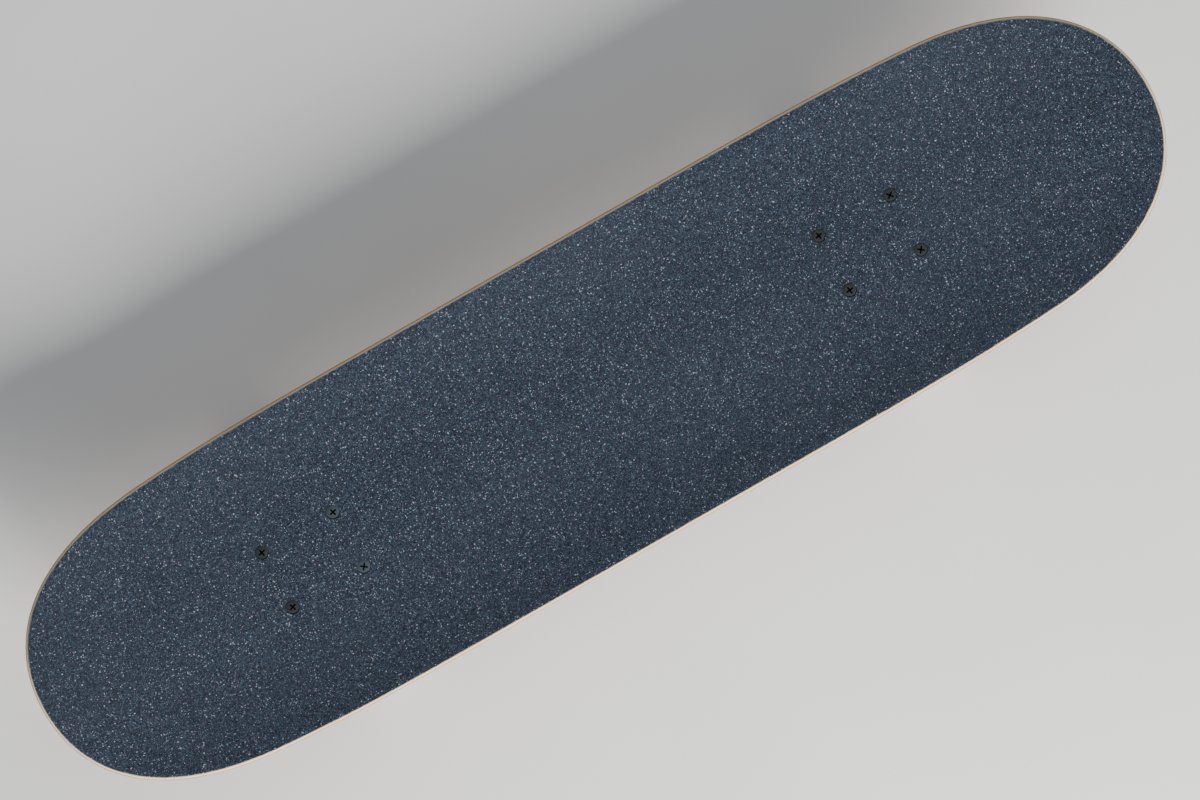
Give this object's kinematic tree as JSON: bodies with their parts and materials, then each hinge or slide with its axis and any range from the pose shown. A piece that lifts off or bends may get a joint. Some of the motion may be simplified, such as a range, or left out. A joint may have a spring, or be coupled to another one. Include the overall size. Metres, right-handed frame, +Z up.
{
  "type": "skateboard",
  "caption": "Street skateboard: laminated popsicle deck with grip tape, two kingpin trucks that lean and steer, and four urethane wheels on ball bearings.",
  "frame": {"origin": "on the ground, under the middle of the deck", "axes": "+X along the board towards the nose, +Y to the rider's left, +Z up"},
  "size_m": [0.8128, 0.2064, 0.1385],
  "materials": {
    "maple_face_ply": "clear satin lacquer",
    "maple_inner_ply": "bare sanded edge",
    "grip_tape": "coarse grit",
    "black_steel_bolts": "black oxide",
    "black_lock_nuts": "black oxide",
    "cast_aluminium": "tumbled casting",
    "black_urethane": "moulded",
    "zinc_lock_nut": "zinc plated",
    "zinc_steel": "zinc plated",
    "zinc_washer": "zinc plated",
    "bushing_urethane": "moulded",
    "axle_steel": "ground",
    "bearing_steel": "ground and polished",
    "bearing_ball_steel": "polished",
    "cage_nylon": "moulded",
    "bearing_seal": "moulded",
    "wheel_urethane": "cast and ground"
  },
  "bodies": {
    "deck": {"deck_ply_1": "maple_face_ply", "deck_ply_2": "maple_inner_ply", "deck_ply_3": "maple_inner_ply", "deck_ply_4": "maple_inner_ply", "deck_ply_5": "maple_inner_ply", "deck_ply_6": "maple_inner_ply", "deck_ply_7": "maple_face_ply", "front_baseplate": "cast_aluminium", "front_boardside_bushing": "bushing_urethane", "front_boardside_washer": "zinc_washer", "front_deck_bolts": "black_steel_bolts", "front_deck_nuts": "black_lock_nuts", "front_kingpin": "zinc_steel", "front_kingpin_nut": "zinc_lock_nut", "front_pivot_cup": "black_urethane", "front_roadside_bushing": "bushing_urethane", "front_roadside_washer": "zinc_washer", "grip_tape": "grip_tape", "rear_baseplate": "cast_aluminium", "rear_boardside_bushing": "bushing_urethane", "rear_boardside_washer": "zinc_washer", "rear_deck_bolts": "black_steel_bolts", "rear_deck_nuts": "black_lock_nuts", "rear_kingpin": "zinc_steel", "rear_kingpin_nut": "zinc_lock_nut", "rear_pivot_cup": "black_urethane", "rear_roadside_bushing": "bushing_urethane", "rear_roadside_washer": "zinc_washer"},
    "front_hanger": {"front_axle": "axle_steel", "front_axle_nuts": "zinc_lock_nut", "front_bearing_inner_rings": "bearing_steel", "front_bearing_spacers": "zinc_steel", "front_hanger": "cast_aluminium", "front_speed_washers": "zinc_washer"},
    "rear_hanger": {"rear_axle": "axle_steel", "rear_axle_nuts": "zinc_lock_nut", "rear_bearing_inner_rings": "bearing_steel", "rear_bearing_spacers": "zinc_steel", "rear_hanger": "cast_aluminium", "rear_speed_washers": "zinc_washer"},
    "front_left_wheel": {"front_left_bearing_outer_rings": "bearing_steel", "front_left_bearing_seals": "bearing_seal", "front_left_wheel": "wheel_urethane"},
    "front_left_ball_cages": {"front_left_bearing_balls": "bearing_ball_steel", "front_left_bearing_cages": "cage_nylon"},
    "front_right_wheel": {"front_right_bearing_outer_rings": "bearing_steel", "front_right_bearing_seals": "bearing_seal", "front_right_wheel": "wheel_urethane"},
    "front_right_ball_cages": {"front_right_bearing_balls": "bearing_ball_steel", "front_right_bearing_cages": "cage_nylon"},
    "rear_left_wheel": {"rear_left_bearing_outer_rings": "bearing_steel", "rear_left_bearing_seals": "bearing_seal", "rear_left_wheel": "wheel_urethane"},
    "rear_left_ball_cages": {"rear_left_bearing_balls": "bearing_ball_steel", "rear_left_bearing_cages": "cage_nylon"},
    "rear_right_wheel": {"rear_right_bearing_outer_rings": "bearing_steel", "rear_right_bearing_seals": "bearing_seal", "rear_right_wheel": "wheel_urethane"},
    "rear_right_ball_cages": {"rear_right_bearing_balls": "bearing_ball_steel", "rear_right_bearing_cages": "cage_nylon"}
  },
  "joints": [
    {"name": "front_steer", "type": "hinge", "parent": "deck", "child": "front_hanger", "pos_m": [0.23201, 0, 0.0665], "axis": [0.9075, 0, 0.4201], "range_deg": [-16, 16], "stiffness_Nm_per_rad": 47, "deforming": ["front_boardside_bushing", "front_roadside_bushing"]},
    {"name": "rear_steer", "type": "hinge", "parent": "deck", "child": "rear_hanger", "pos_m": [-0.23827, 0, 0.0665], "axis": [-0.9075, 0, 0.4201], "range_deg": [-16, 16], "stiffness_Nm_per_rad": 47, "deforming": ["rear_boardside_bushing", "rear_roadside_bushing"]},
    {"name": "front_left_wheel_spin", "type": "hinge", "parent": "front_hanger", "child": "front_left_wheel", "pos_m": [0.21201, 0.0808, 0.026], "axis": [0, 1, 0], "continuous": true},
    {"name": "front_left_cage_spin", "type": "hinge", "parent": "front_hanger", "child": "front_left_ball_cages", "pos_m": [0.21201, 0.0808, 0.026], "axis": [0, 1, 0], "continuous": true},
    {"name": "front_right_wheel_spin", "type": "hinge", "parent": "front_hanger", "child": "front_right_wheel", "pos_m": [0.21201, -0.0808, 0.026], "axis": [0, 1, 0], "continuous": true},
    {"name": "front_right_cage_spin", "type": "hinge", "parent": "front_hanger", "child": "front_right_ball_cages", "pos_m": [0.21201, -0.0808, 0.026], "axis": [0, 1, 0], "continuous": true},
    {"name": "rear_left_wheel_spin", "type": "hinge", "parent": "rear_hanger", "child": "rear_left_wheel", "pos_m": [-0.21827, 0.0808, 0.026], "axis": [0, 1, 0], "continuous": true},
    {"name": "rear_left_cage_spin", "type": "hinge", "parent": "rear_hanger", "child": "rear_left_ball_cages", "pos_m": [-0.21827, 0.0808, 0.026], "axis": [0, 1, 0], "continuous": true},
    {"name": "rear_right_wheel_spin", "type": "hinge", "parent": "rear_hanger", "child": "rear_right_wheel", "pos_m": [-0.21827, -0.0808, 0.026], "axis": [0, 1, 0], "continuous": true},
    {"name": "rear_right_cage_spin", "type": "hinge", "parent": "rear_hanger", "child": "rear_right_ball_cages", "pos_m": [-0.21827, -0.0808, 0.026], "axis": [0, 1, 0], "continuous": true}
  ],
  "couplings": [
    {"joint": "front_left_cage_spin", "follows": "front_left_wheel_spin", "ratio": 0.632},
    {"joint": "front_right_cage_spin", "follows": "front_right_wheel_spin", "ratio": 0.632},
    {"joint": "rear_left_cage_spin", "follows": "rear_left_wheel_spin", "ratio": 0.632},
    {"joint": "rear_right_cage_spin", "follows": "rear_right_wheel_spin", "ratio": 0.632}
  ]
}
